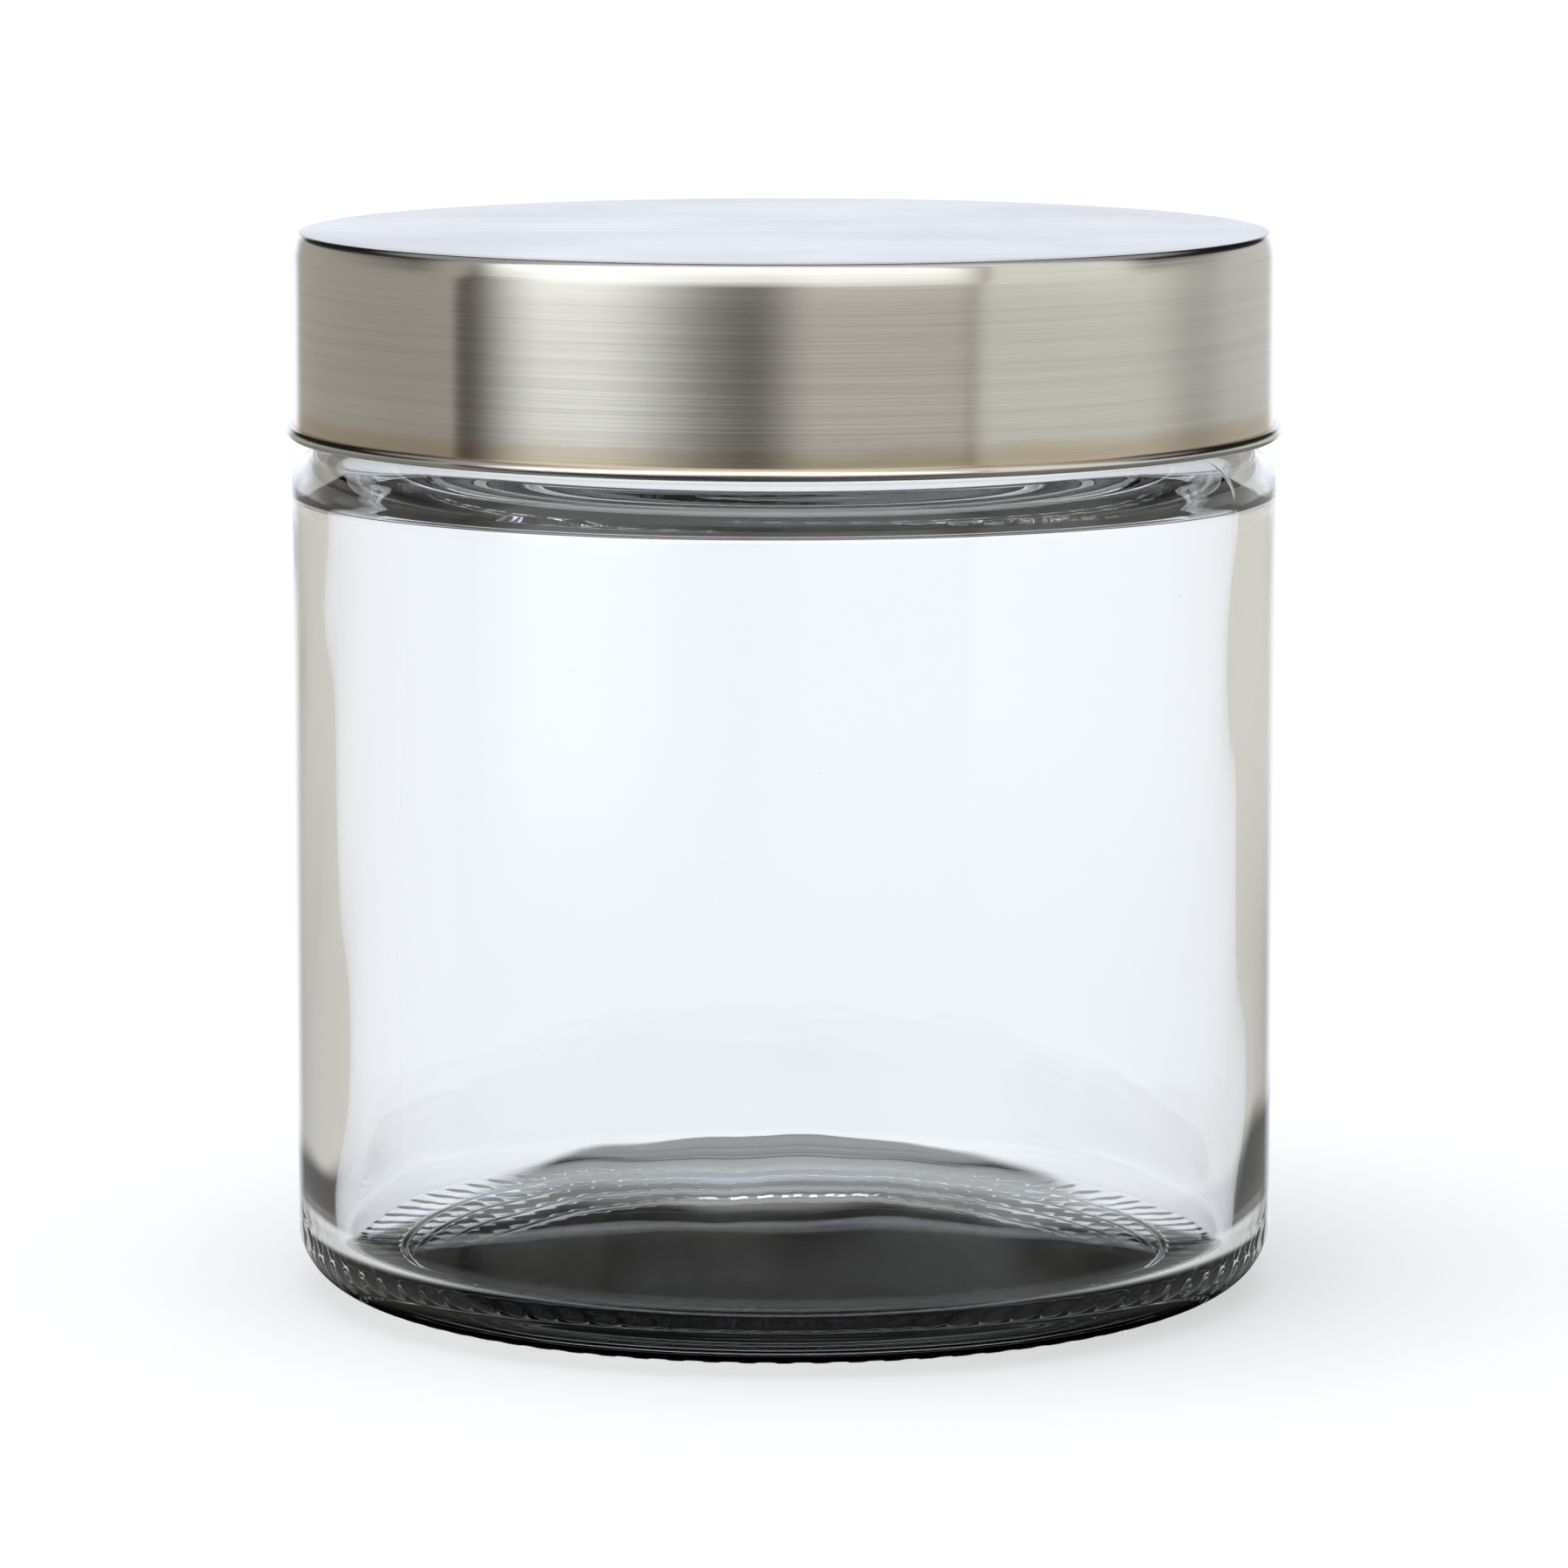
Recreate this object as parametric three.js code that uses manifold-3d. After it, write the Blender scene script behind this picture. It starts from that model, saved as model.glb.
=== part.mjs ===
// Straight-sided glass jar with a brushed steel screw lid, in millimetres, +Z up.
// The origin is the centre of the foot ring, on the surface that the jar stands on.
// A quick four-start thread inside the lid meets the same thread on the glass neck.
import * as THREE from 'three';
import { mergeVertices } from 'three/addons/utils/BufferGeometryUtils.js';
import Module from 'manifold-3d';

const wasm = await Module();
wasm.setup();

// Facets around every turned piece; a multiple of four puts corners on the X and Y axes.
const SEGMENTS = 64;
const FULL_TURN = 360;

// Glass jar
const JAR_RADIUS = 49;
const JAR_WALL = 3.75;
const HEEL_RADIUS = 6.2;
const FOOT_RING_WIDTH = 3.8;
const PUSH_UP_EDGE_WIDTH = 1.4;
const PUSH_UP_EDGE_HEIGHT = 0.6;
const PUSH_UP_HEIGHT = 2;
const FLOOR_EDGE_HEIGHT = 3.9;
const FLOOR_CENTRE_HEIGHT = 4.5;
const FLOOR_CORNER_RADIUS = 3;
const SHOULDER_START_HEIGHT = 80.1;
const SHOULDER_RADIUS = 4.4;
const NECK_RADIUS = 44.3;
const NECK_FILLET = 0.4;
const MOUTH_RADIUS = 40.8;
const MOUTH_END_HEIGHT = 84.5;
const WAIST_ANGLE = 75;
const RIM_HEIGHT = 101.2;
const RIM_ROUNDING = 1.2;

// Steel lid shell
const LID_TOP_HEIGHT = 105.3;
const LID_RADIUS = 48.76;
const SHEET = 0.5;
const LID_EDGE_RADIUS = 0.76;
const LID_INNER_EDGE_RADIUS = 0.4;
const BEAD_HEIGHT = 85.7;
const BEAD_TIP_RADIUS = 49.64;
const BEAD_HALF_THICKNESS = 0.58;

// Plastic threaded insert, pressed up inside the shell
const FIT_GAP = 0.3;
const INSERT_RADIUS = LID_RADIUS - SHEET - 0.36;
const INSERT_WALL = 1.8;
const INSERT_PANEL = 1.5;
const INSERT_BOTTOM_HEIGHT = 86.6;
const RETAINER_HEIGHT = 100.6;
const RETAINER_HALF_HEIGHT = 0.7;
const RETAINER_DEPTH = 0.8;

// Soft sealing disc, held loosely above the retaining ring
const SEAL_RADIUS = 45.6;
const SEAL_THICKNESS = 1.2;

// Right-hand thread: four starts, each start one ridge on the glass and one in the insert.
// A ridge steps from mid-facet to mid-facet of the wall that it grows out of.
const STARTS = 4;
const LEAD = 20;
const THREAD_STEP_ANGLE = FULL_TURN / SEGMENTS;
const THREAD_FADE_STEPS = 2;
// embed is how far a ridge's base lies inside the wall, along the radius.
const GLASS_THREAD = {
  rootRadius: NECK_RADIUS,
  crestRadius: 45.6,
  embed: -0.7,
  baseHalfHeight: 1.25,
  crestHalfHeight: 0.45,
  startHeight: 90.5,
  startStep: 0.5,
  steps: 18,
};
const INSERT_THREAD = {
  rootRadius: INSERT_RADIUS - INSERT_WALL,
  crestRadius: 44.8,
  embed: 0.7,
  baseHalfHeight: 1.15,
  crestHalfHeight: 0.4,
  startHeight: 89.9,
  startStep: 3.5,
  steps: 11,
};

// Points of an elliptical arc in the outline's plane: x is the radius, y the height.
function arc(centreX, centreY, radiusX, radiusY, fromDegrees, toDegrees, steps) {
  const points = [];
  for (let i = 0; i <= steps; i += 1) {
    const angle = THREE.MathUtils.degToRad(fromDegrees + ((toDegrees - fromDegrees) * i) / steps);
    const x = centreX + radiusX * Math.cos(angle);
    const y = centreY + radiusY * Math.sin(angle);
    points.push(new THREE.Vector2(x, y));
  }
  return points;
}

// Turns an outline about +Z. The outline runs from the axis round the solid and back to the axis.
function turned(outline) {
  const geometry = new THREE.LatheGeometry(outline, SEGMENTS);
  geometry.rotateX(Math.PI / 2);
  return geometry;
}

// A geometry as a solid that can be joined: shared corners merged, empty triangles dropped.
function solidFrom(geometry) {
  const bare = geometry.clone();
  bare.deleteAttribute('normal');
  bare.deleteAttribute('uv');
  const merged = mergeVertices(bare, 1e-4);
  const corners = merged.index.array;
  const kept = [];
  for (let i = 0; i < corners.length; i += 3) {
    const [a, b, c] = corners.slice(i, i + 3);
    if (a !== b && b !== c && c !== a) kept.push(a, b, c);
  }
  const vertProperties = new Float32Array(merged.attributes.position.array);
  const triVerts = new Uint32Array(kept);
  return new wasm.Manifold(new wasm.Mesh({ numProp: 3, vertProperties, triVerts }));
}

function geometryFrom(solid) {
  const { vertProperties, triVerts } = solid.getMesh();
  const geometry = new THREE.BufferGeometry();
  geometry.setAttribute('position', new THREE.BufferAttribute(vertProperties, 3));
  geometry.setIndex(new THREE.BufferAttribute(triVerts, 1));
  return geometry;
}

// Skins a row of equal sections and closes both ends with a fan.
function skinned(sections) {
  const size = sections[0].length;
  const positions = sections.flat().flatMap((point) => point.toArray());
  const faces = [];
  for (let s = 0; s + 1 < sections.length; s += 1) {
    for (let i = 0; i < size; i += 1) {
      const here = s * size + i;
      const next = s * size + ((i + 1) % size);
      faces.push(here, next, next + size);
      faces.push(here, next + size, here + size);
    }
  }
  const last = (sections.length - 1) * size;
  for (let i = 1; i + 1 < size; i += 1) {
    faces.push(0, i + 1, i);
    faces.push(last, last + i, last + i + 1);
  }
  const geometry = new THREE.BufferGeometry();
  geometry.setAttribute('position', new THREE.Float32BufferAttribute(positions, 3));
  geometry.setIndex(faces);
  return geometry;
}

// One thread section: a trapezium whose crest sinks into the wall as the ridge fades out.
function threadSection(thread, step) {
  const fade = Math.min(1, step / THREAD_FADE_STEPS, (thread.steps - step) / THREAD_FADE_STEPS);
  const sunk = thread.rootRadius + thread.embed / 2;
  const crest = THREE.MathUtils.lerp(sunk, thread.crestRadius, fade);
  const base = thread.rootRadius + thread.embed;
  const height = thread.startHeight + (LEAD * step) / SEGMENTS;
  const corners = [
    [base, -thread.baseHalfHeight],
    [crest, -thread.crestHalfHeight],
    [crest, thread.crestHalfHeight],
    [base, thread.baseHalfHeight],
  ];
  return { corners, height };
}

function threadRidge(thread, turn) {
  const sections = [];
  for (let step = 0; step <= thread.steps; step += 1) {
    const { corners, height } = threadSection(thread, step);
    const angle = THREE.MathUtils.degToRad(turn + (thread.startStep + step) * THREAD_STEP_ANGLE);
    const points = corners.map(
      ([radius, rise]) =>
        new THREE.Vector3(radius * Math.cos(angle), radius * Math.sin(angle), height + rise),
    );
    if (thread.embed < 0) points.reverse();
    sections.push(points);
  }
  return solidFrom(skinned(sections));
}

function withThread(geometry, thread) {
  let solid = solidFrom(geometry);
  for (let start = 0; start < STARTS; start += 1) {
    solid = solid.add(threadRidge(thread, (FULL_TURN / STARTS) * start));
  }
  return geometryFrom(solid);
}

function glassJar() {
  const heelCentre = JAR_RADIUS - HEEL_RADIUS;
  const footInner = heelCentre - FOOT_RING_WIDTH;
  const boreRadius = JAR_RADIUS - JAR_WALL;
  const floorEdge = boreRadius - FLOOR_CORNER_RADIUS;
  const shoulderCentre = JAR_RADIUS - SHOULDER_RADIUS;
  const shoulderTop = SHOULDER_START_HEIGHT + SHOULDER_RADIUS;
  const rimStart = RIM_HEIGHT - RIM_ROUNDING;
  const rimOuter = NECK_RADIUS - RIM_ROUNDING;
  const rimInner = MOUTH_RADIUS + RIM_ROUNDING;
  // Two arcs of one radius and angle carry the mouth out to the bore.
  const waistTurn = THREE.MathUtils.degToRad(WAIST_ANGLE);
  const waist = (boreRadius - MOUTH_RADIUS) / (2 - 2 * Math.cos(waistTurn));
  const waistDrop = 2 * waist * Math.sin(waistTurn);
  const outline = [
    new THREE.Vector2(0, PUSH_UP_HEIGHT),
    new THREE.Vector2(footInner - PUSH_UP_EDGE_WIDTH, PUSH_UP_EDGE_HEIGHT),
    new THREE.Vector2(footInner, 0),
    ...arc(heelCentre, HEEL_RADIUS, HEEL_RADIUS, HEEL_RADIUS, -90, 0, 6),
    ...arc(shoulderCentre, SHOULDER_START_HEIGHT, SHOULDER_RADIUS, SHOULDER_RADIUS, 0, 90, 5),
    new THREE.Vector2(NECK_RADIUS, shoulderTop + NECK_FILLET),
    ...arc(rimOuter, rimStart, RIM_ROUNDING, RIM_ROUNDING, 0, 90, 3),
    ...arc(rimInner, rimStart, RIM_ROUNDING, RIM_ROUNDING, 90, 180, 3),
    ...arc(MOUTH_RADIUS + waist, MOUTH_END_HEIGHT, waist, waist, 180, 180 + WAIST_ANGLE, 4),
    ...arc(boreRadius - waist, MOUTH_END_HEIGHT - waistDrop, waist, waist, WAIST_ANGLE, 0, 4).slice(1),
    ...arc(floorEdge, FLOOR_EDGE_HEIGHT + FLOOR_CORNER_RADIUS,
      FLOOR_CORNER_RADIUS, FLOOR_CORNER_RADIUS, 0, -90, 5),
    new THREE.Vector2(0, FLOOR_CENTRE_HEIGHT),
  ];
  return withThread(turned(outline), GLASS_THREAD);
}

function lidShell() {
  const innerRadius = LID_RADIUS - SHEET;
  const innerTop = LID_TOP_HEIGHT - SHEET;
  const beadHalfWidth = (BEAD_TIP_RADIUS - innerRadius) / 2;
  const beadCentre = innerRadius + beadHalfWidth;
  // The curl starts where it leaves the wall, goes out to its tip and comes in under the wall.
  const curlCosine = (LID_RADIUS - beadCentre) / beadHalfWidth;
  const curlStart = THREE.MathUtils.radToDeg(Math.acos(curlCosine));
  const outline = [
    new THREE.Vector2(0, LID_TOP_HEIGHT),
    ...arc(LID_RADIUS - LID_EDGE_RADIUS, LID_TOP_HEIGHT - LID_EDGE_RADIUS,
      LID_EDGE_RADIUS, LID_EDGE_RADIUS, 90, 0, 3),
    ...arc(beadCentre, BEAD_HEIGHT, beadHalfWidth, BEAD_HALF_THICKNESS, curlStart, 0, 4),
    ...arc(beadCentre, BEAD_HEIGHT, beadHalfWidth, BEAD_HALF_THICKNESS, 0, -180, 6).slice(1),
    ...arc(innerRadius - LID_INNER_EDGE_RADIUS, innerTop - LID_INNER_EDGE_RADIUS,
      LID_INNER_EDGE_RADIUS, LID_INNER_EDGE_RADIUS, 0, 90, 2),
    new THREE.Vector2(0, innerTop),
  ].reverse();
  return turned(outline);
}

function threadedInsert() {
  const top = LID_TOP_HEIGHT - SHEET - FIT_GAP;
  const panelBottom = top - INSERT_PANEL;
  const bore = INSERT_RADIUS - INSERT_WALL;
  const outline = [
    new THREE.Vector2(0, panelBottom),
    new THREE.Vector2(bore, panelBottom),
    new THREE.Vector2(bore, RETAINER_HEIGHT + RETAINER_HALF_HEIGHT),
    new THREE.Vector2(bore - RETAINER_DEPTH, RETAINER_HEIGHT),
    new THREE.Vector2(bore, RETAINER_HEIGHT - RETAINER_HALF_HEIGHT),
    new THREE.Vector2(bore, INSERT_BOTTOM_HEIGHT),
    new THREE.Vector2(INSERT_RADIUS, INSERT_BOTTOM_HEIGHT),
    ...arc(INSERT_RADIUS - LID_INNER_EDGE_RADIUS, top - LID_INNER_EDGE_RADIUS,
      LID_INNER_EDGE_RADIUS, LID_INNER_EDGE_RADIUS, 0, 90, 2),
    new THREE.Vector2(0, top),
  ];
  return withThread(turned(outline), INSERT_THREAD);
}

function sealDisc() {
  const bottom = RIM_HEIGHT + FIT_GAP;
  const top = bottom + SEAL_THICKNESS;
  return turned([
    new THREE.Vector2(0, bottom),
    new THREE.Vector2(SEAL_RADIUS, bottom),
    new THREE.Vector2(SEAL_RADIUS, top),
    new THREE.Vector2(0, top),
  ]);
}

const clearGlass = new THREE.MeshStandardMaterial({ color: 0xeaf1f4, roughness: 0.04, metalness: 0 });
clearGlass.transparent = true;
clearGlass.opacity = 0.35;
const brushedSteel = new THREE.MeshStandardMaterial({ color: 0xb9b6ab, roughness: 0.35, metalness: 1 });
const greyPlastic = new THREE.MeshStandardMaterial({ color: 0x66615c, roughness: 0.5, metalness: 0 });
const softSeal = new THREE.MeshStandardMaterial({ color: 0xe3e6e4, roughness: 0.7, metalness: 0 });

function part(name, geometry, material) {
  const mesh = new THREE.Mesh(geometry, material);
  mesh.name = name;
  return mesh;
}

const jar = new THREE.Group();
jar.add(part('glass_jar', glassJar(), clearGlass));

const lid = new THREE.Group();
lid.add(part('lid_shell', lidShell(), brushedSteel));
lid.add(part('threaded_insert', threadedInsert(), greyPlastic));
lid.add(part('seal_disc', sealDisc(), softSeal));
jar.add(lid);

export default jar;
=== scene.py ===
import math

import bpy
import numpy as np
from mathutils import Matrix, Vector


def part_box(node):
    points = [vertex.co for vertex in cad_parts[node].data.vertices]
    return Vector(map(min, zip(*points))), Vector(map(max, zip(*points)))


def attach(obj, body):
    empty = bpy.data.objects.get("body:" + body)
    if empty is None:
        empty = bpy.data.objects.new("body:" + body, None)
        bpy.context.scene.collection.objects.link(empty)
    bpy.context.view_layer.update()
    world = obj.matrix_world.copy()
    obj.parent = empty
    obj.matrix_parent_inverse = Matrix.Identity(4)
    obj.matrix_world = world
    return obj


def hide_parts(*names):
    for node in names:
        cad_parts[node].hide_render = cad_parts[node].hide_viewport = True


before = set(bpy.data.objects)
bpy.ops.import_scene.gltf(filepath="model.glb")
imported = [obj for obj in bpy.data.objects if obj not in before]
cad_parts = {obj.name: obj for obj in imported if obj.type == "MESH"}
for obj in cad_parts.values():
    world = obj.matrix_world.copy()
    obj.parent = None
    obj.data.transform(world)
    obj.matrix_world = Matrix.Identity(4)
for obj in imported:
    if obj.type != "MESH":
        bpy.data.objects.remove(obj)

# A clear glass candle jar with a brushed steel screw lid, in metres, +Z up.
# Outlines are lists of (radius, height) points turned about the Z axis.
MM = 0.001
TURN = 2 * math.pi
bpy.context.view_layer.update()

# Sizes read from the CAD frame
JAR_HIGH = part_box("glass_jar")[1]
SHELL_LOW, SHELL_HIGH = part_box("lid_shell")
INSERT_LOW, INSERT_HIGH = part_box("threaded_insert")
SEAL_LOW, SEAL_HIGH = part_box("seal_disc")
JAR_RADIUS = JAR_HIGH[0]
RIM_HEIGHT = JAR_HIGH[2]
LID_TOP = SHELL_HIGH[2]
BEAD_TIP_RADIUS = SHELL_HIGH[0]
INSERT_RADIUS = INSERT_HIGH[0]
SEAL_RADIUS = SEAL_HIGH[0]

# Glass
WALL = 3.75 * MM
BORE_RADIUS = JAR_RADIUS - WALL
HEEL_RADIUS = 6.2 * MM
HEEL_CENTRE = JAR_RADIUS - HEEL_RADIUS
FOOT_RING_WIDTH = 3.8 * MM
FOOT_INNER = HEEL_CENTRE - FOOT_RING_WIDTH
PUSH_UP_EDGE_WIDTH = 1.4 * MM
PUSH_UP_EDGE_HEIGHT = 0.6 * MM
PUSH_UP_HEIGHT = 2.0 * MM
FLOOR_EDGE_HEIGHT = 3.9 * MM
FLOOR_CENTRE_HEIGHT = 4.5 * MM
FLOOR_CORNER_RADIUS = 3.0 * MM
SHOULDER_START = 80.1 * MM
SHOULDER_RADIUS = 4.4 * MM
SHOULDER_TOP = SHOULDER_START + SHOULDER_RADIUS
NECK_RADIUS = 44.3 * MM
MOUTH_RADIUS = 40.8 * MM
MOUTH_END = 84.5 * MM
WAIST_ANGLE = 75
RIM_ROUNDING = 1.2 * MM
HEEL_MARKS = 80
HEEL_MARK_DEPTH = 0.18 * MM
HEEL_MARK_TOP = 2 * MM
POINTS_PER_MARK = 6
SEAM_ANGLE = math.radians(-27)
SEAMS = (SEAM_ANGLE, SEAM_ANGLE + math.pi)
SEAM_HALF_WIDTH = 0.3 * MM
SEAM_HEIGHT = 0.025 * MM
SEAM_FOOT = 3 * MM
# Waves of the blown inside: (depth, waves round the jar, radians per metre of height, phase)
INSIDE_WAVES = (
    (0.10 * MM, 3, 25, 0.4),
    (0.07 * MM, 5, -40, 1.9),
    (0.04 * MM, 11, 90, 2.2),
    (0.012 * MM, 29, -160, 0.8),
)
# Ripples of the floor: (depth, radians per metre, heading, phase)
FLOOR_RIPPLES = (
    (0.010 * MM, 90, 0.6, 0.5),
    (0.007 * MM, 150, math.pi / 2 - 0.3, 1.1),
)

# Steel shell
SHEET = 0.5 * MM
BEAD_OVERHANG = 0.88 * MM
BEAD_HALF_THICKNESS = 0.58 * MM
BEAD_HEIGHT = SHELL_LOW[2] + BEAD_HALF_THICKNESS
BEAD_CREASE = BEAD_HEIGHT + BEAD_HALF_THICKNESS
LID_RADIUS = BEAD_TIP_RADIUS - BEAD_OVERHANG
LID_EDGE_RADIUS = 0.76 * MM
LID_EDGE_START = 14
INNER_CORNER = 0.4 * MM
LEAN = 0.24 * MM
LEAN_HEIGHT = 1.4 * MM
LEAN_CURVE = 1.4

# Threaded insert and thread
INSERT_WALL = 1.8 * MM
INSERT_BORE = INSERT_RADIUS - INSERT_WALL
INSERT_PANEL = 1.5 * MM
INSERT_EDGE = 0.5 * MM
RETAINER_HEIGHT = 100.6 * MM
RETAINER_HALF_HEIGHT = 0.7 * MM
RETAINER_DEPTH = 0.8 * MM
STARTS = 4
LEAD = 20 * MM
CAD_FACET = TURN / 64
GLASS_THREAD = {
    "first": 0.5 * CAD_FACET, "sweep": 18 * CAD_FACET, "height": 90.5 * MM,
    "depth": 1.3 * MM, "base": 0.97 * MM, "crest": 0.45 * MM,
}
INSERT_THREAD = {
    "first": 3.5 * CAD_FACET, "sweep": 11 * CAD_FACET, "height": 89.9 * MM,
    "depth": 1.3 * MM, "base": 0.88 * MM, "crest": 0.4 * MM,
}
THREAD_FADE = 2 * CAD_FACET

# Sealing disc: a shallow land on its underside presses on the glass rim
SEAL_EDGE = 0.3 * MM
SEAL_LAND_HEIGHT = 0.25 * MM
SEAL_LAND_HALF_WIDTH = 1.2 * MM

LID_STEPS_ROUND = 288
SEAL_STEPS_ROUND = 192


# ---- outlines and turned meshes ----

def arc(centre, radius, start, stop, count):
    """Points on an arc about centre; radius may be a pair for an ellipse. Angles in degrees."""
    across, up = radius if isinstance(radius, tuple) else (radius, radius)
    angles = np.radians(np.linspace(start, stop, count))
    return [(centre[0] + across * math.cos(a), centre[1] + up * math.sin(a)) for a in angles]


def line(start, stop, count):
    """Points from start towards stop, leaving out stop itself."""
    steps = np.arange(count) / count
    return [tuple(np.array(start) + (np.array(stop) - np.array(start)) * s) for s in steps]


def bowed(radii, edge_radius, edge_height, centre_height):
    """Points at some radii on a shallow dome that is highest at the axis."""
    rise = centre_height - edge_height
    return [(r, edge_height + rise * (1 - (r / edge_radius) ** 2)) for r in radii]


def smooth_step(low, high, value):
    t = np.clip((value - low) / (high - low), 0, 1)
    return t * t * (3 - 2 * t)


def even_angles(count):
    return np.arange(count) * TURN / count


def turned(name, outline, angles, shape=None, sharp=35):
    """Turns an outline from axis to axis into a closed mesh.

    shape(radius, height, angle) moves the rings between the two poles, as arrays.
    """
    ring = np.array(outline[1:-1])
    radius = np.repeat(ring[:, :1], len(angles), axis=1)
    height = np.repeat(ring[:, 1:], len(angles), axis=1)
    angle = np.repeat(angles[None, :], len(ring), axis=0)
    if shape:
        radius, height = shape(radius, height, angle)
    points = np.stack([radius * np.cos(angle), radius * np.sin(angle), height], axis=-1)
    points = points.reshape(-1, 3)
    poles = np.array([[0, 0, outline[0][1]], [0, 0, outline[-1][1]]])
    rows, size = len(ring), len(angles)
    around = np.arange(size)
    ahead = np.roll(around, -1)
    row_starts = np.arange(rows - 1)[:, None] * size
    here = (row_starts + around[None, :]).ravel()
    beside = (row_starts + ahead[None, :]).ravel()
    quads = np.stack([here, beside, beside + size, here + size], axis=1).tolist()
    first, last = rows * size, rows * size + 1
    top = (rows - 1) * size
    fans = [[first, int(b), int(a)] for a, b in zip(around, ahead)]
    fans += [[last, int(top + a), int(top + b)] for a, b in zip(around, ahead)]
    mesh = bpy.data.meshes.new(name)
    mesh.from_pydata(np.vstack([points, poles]).tolist(), [], quads + fans)
    mesh.update()
    mesh.shade_smooth()
    mesh.set_sharp_from_angle(angle=math.radians(sharp))
    piece = bpy.data.objects.new(name, mesh)
    bpy.context.scene.collection.objects.link(piece)
    return piece


def thread_height(thread, height, angle):
    """How far the thread's ridges stand out at a height and angle."""
    total = np.zeros_like(height)
    for start in range(STARTS):
        along = (angle - thread["first"] - start * TURN / STARTS) % TURN
        centre = thread["height"] + LEAD * along / TURN
        fade = smooth_step(0, THREAD_FADE, along)
        fade *= smooth_step(0, THREAD_FADE, thread["sweep"] - along)
        off_centre = np.abs(height - centre)
        ridge = 1 - smooth_step(thread["crest"], thread["base"], off_centre)
        total = np.maximum(total, ridge * fade * thread["depth"])
    return total


# ---- glass jar ----

def glass_base():
    """The underside from the axis to the foot ring, then the heel."""
    dome_edge = FOOT_INNER - PUSH_UP_EDGE_WIDTH
    dome = bowed(np.linspace(0, dome_edge, 12), dome_edge, PUSH_UP_EDGE_HEIGHT, PUSH_UP_HEIGHT)
    step = [
        (dome_edge + PUSH_UP_EDGE_WIDTH * t, PUSH_UP_EDGE_HEIGHT * (1 - smooth_step(0, 1, t)))
        for t in np.linspace(0, 1, 8)[1:-1]
    ]
    foot = line((FOOT_INNER, 0), (HEEL_CENTRE, 0), 12)
    return dome + step + foot + arc((HEEL_CENTRE, HEEL_RADIUS), HEEL_RADIUS, -90, 0, 18)


def glass_outside():
    """The wall, shoulder and neck, up to the rim."""
    rim_start = RIM_HEIGHT - RIM_ROUNDING
    wall = line((JAR_RADIUS, HEEL_RADIUS), (JAR_RADIUS, SHOULDER_START), 16)[1:]
    shoulder = arc((JAR_RADIUS - SHOULDER_RADIUS, SHOULDER_START), SHOULDER_RADIUS, 0, 88, 14)
    neck = line((NECK_RADIUS, SHOULDER_TOP + 0.3 * MM), (NECK_RADIUS, rim_start), 44)
    rim = arc((NECK_RADIUS - RIM_ROUNDING, rim_start), RIM_ROUNDING, 0, 90, 6)
    rim += arc((MOUTH_RADIUS + RIM_ROUNDING, rim_start), RIM_ROUNDING, 90, 180, 6)
    return wall + shoulder + neck + rim


def glass_inside():
    """The mouth, the waist where it widens to the bore, the inner wall and the floor."""
    rim_start = RIM_HEIGHT - RIM_ROUNDING
    bend = math.radians(WAIST_ANGLE)
    waist = (BORE_RADIUS - MOUTH_RADIUS) / (2 - 2 * math.cos(bend))
    waist_foot = MOUTH_END - 2 * waist * math.sin(bend)
    corner_top = FLOOR_EDGE_HEIGHT + FLOOR_CORNER_RADIUS
    floor_edge = BORE_RADIUS - FLOOR_CORNER_RADIUS
    mouth = line((MOUTH_RADIUS, rim_start), (MOUTH_RADIUS, MOUTH_END), 6)[1:]
    widening = arc((MOUTH_RADIUS + waist, MOUTH_END), waist, 180, 180 + WAIST_ANGLE, 9)
    widening += arc((BORE_RADIUS - waist, waist_foot), waist, WAIST_ANGLE, 0, 9)[1:]
    inner_wall = line((BORE_RADIUS, waist_foot), (BORE_RADIUS, corner_top), 30)[1:]
    corner = arc((floor_edge, corner_top), FLOOR_CORNER_RADIUS, 0, -90, 14)
    radii = np.linspace(floor_edge, 0, 12)[1:]
    floor = bowed(radii, floor_edge, FLOOR_EDGE_HEIGHT, FLOOR_CENTRE_HEIGHT)
    return mouth + widening + inner_wall + corner + floor


def heel_marks(radius, height, angle):
    """Lifts the foot ring between short radial bars, which are left standing."""
    bar = smooth_step(0.1, 0.5, np.cos(angle * HEEL_MARKS))
    band = smooth_step(FOOT_INNER - 0.2 * MM, FOOT_INNER + 0.5 * MM, radius)
    band *= 1 - smooth_step(HEEL_CENTRE + 1.2 * MM, HEEL_CENTRE + 2.6 * MM, radius)
    return np.where(height < HEEL_MARK_TOP, HEEL_MARK_DEPTH * (1 - bar) * band, 0)


def inside_waves(radius, height, angle):
    """Long sideways swells of the inner wall, with slow changes along the height."""
    swell = sum(depth * np.sin(count * angle + climb * height + phase)
                for depth, count, climb, phase in INSIDE_WAVES)
    body = smooth_step(10 * MM, 20 * MM, height) * (1 - smooth_step(70 * MM, 80 * MM, height))
    return np.where(radius > BORE_RADIUS - 1 * MM, swell * body, 0)


def floor_ripples(radius, height, angle):
    """The inside of the floor sags unevenly as it sets."""
    ripple = sum(depth * np.sin(rate * radius * np.cos(angle - heading) + phase)
                 for depth, rate, heading, phase in FLOOR_RIPPLES)
    fade = smooth_step(0, 10 * MM, radius) * (1 - smooth_step(34 * MM, 42 * MM, radius))
    return np.where(height < FLOOR_CENTRE_HEIGHT + 3 * MM, ripple * fade, 0)


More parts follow.
